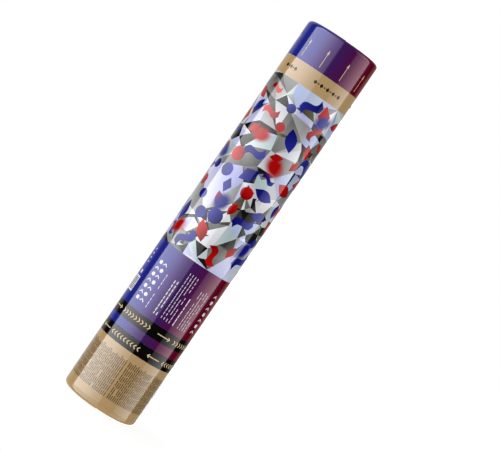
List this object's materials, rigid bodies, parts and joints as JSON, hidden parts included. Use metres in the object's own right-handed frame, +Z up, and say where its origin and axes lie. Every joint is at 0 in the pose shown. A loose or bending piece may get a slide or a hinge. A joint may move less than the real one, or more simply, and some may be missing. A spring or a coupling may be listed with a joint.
{
  "type": "confetti popper",
  "caption": "Twist-fired compressed-air confetti popper: a printed round tube whose barrel turns on its handle.",
  "frame": {"origin": "middle of the foot that the popper stands on", "axes": "+Z up along the tube towards its mouth, -Y towards the side that the picture shows"},
  "size_m": [0.053, 0.053, 0.279],
  "materials": {
    "base_plastic": "beige moulded plastic, satin gloss",
    "printed_film": "glossy printed film, blue to purple to red, with beige and black bands",
    "natural_plastic": "unpainted moulded plastic, milky white",
    "cam_plastic": "dark grey moulded plastic",
    "slip_plastic": "smooth white slip washer",
    "spring_steel": "bright spring steel",
    "aluminium_can": "drawn aluminium, fine rings",
    "black_rubber": "soft black rubber",
    "turned_brass": "turned brass",
    "jaw_plastic": "red slippery plastic",
    "stopper_plastic": "white hard plastic",
    "wound_cardboard": "spirally wound grey-brown board",
    "grey_felt": "pressed grey felt",
    "red_paper": "red metallic paper",
    "blue_paper": "blue metallic paper"
  },
  "bodies": {
    "handle": {"handle_cup": "base_plastic", "handle_neck": "natural_plastic", "handle_sleeve": "printed_film", "thrust_washer": "slip_plastic", "swivel_ring": "spring_steel", "air_cylinder": "aluminium_can", "fill_bung": "black_rubber", "neck_gasket": "black_rubber", "valve_seat": "turned_brass", "valve_housing": "natural_plastic", "guide_cap": "natural_plastic"},
    "stopper": {"stopper": "stopper_plastic", "stopper_o_ring": "black_rubber"},
    "jaw_left": {"jaw_left": "jaw_plastic"},
    "jaw_right": {"jaw_right": "jaw_plastic"},
    "barrel": {"barrel_tube": "wound_cardboard", "barrel_sleeve": "printed_film", "swivel_collar": "natural_plastic", "cam_ring": "cam_plastic", "baffle_plate": "cam_plastic"},
    "charge": {"wad": "grey_felt", "red_strips": "red_paper", "blue_strips": "blue_paper", "red_discs": "red_paper", "blue_discs": "blue_paper"},
    "cap": {"mouth_cap": "natural_plastic", "cap_film": "printed_film"}
  },
  "joints": [
    {"name": "barrel_twist", "type": "hinge", "parent": "handle", "child": "barrel", "pos_m": [0, 0, 0.051], "axis": [0, 0, 1], "range_deg": [0, 90]},
    {"name": "jaw_left_slide", "type": "slide", "parent": "handle", "child": "jaw_left", "axis": [-1, 0, 0], "range_m": [0, 0.0034]},
    {"name": "jaw_right_slide", "type": "slide", "parent": "handle", "child": "jaw_right", "axis": [1, 0, 0], "range_m": [0, 0.0034]},
    {"name": "stopper_lift", "type": "slide", "parent": "handle", "child": "stopper", "axis": [0, 0, 1], "range_m": [0, 0.0034]},
    {"name": "charge_launch", "type": "slide", "parent": "barrel", "child": "charge", "axis": [0, 0, 1], "range_m": [0, 0.165]},
    {"name": "cap_blow_off", "type": "slide", "parent": "barrel", "child": "cap", "axis": [0, 0, 1], "range_m": [0, 0.2063]}
  ],
  "couplings": [
    {"joint": "jaw_left_slide", "follows": "barrel_twist", "m_per_rad": 0.0021645},
    {"joint": "jaw_right_slide", "follows": "barrel_twist", "m_per_rad": 0.0021645},
    {"joint": "stopper_lift", "follows": "barrel_twist", "m_per_rad": 0.0021645},
    {"joint": "cap_blow_off", "follows": "charge_launch", "ratio": 1.25}
  ]
}
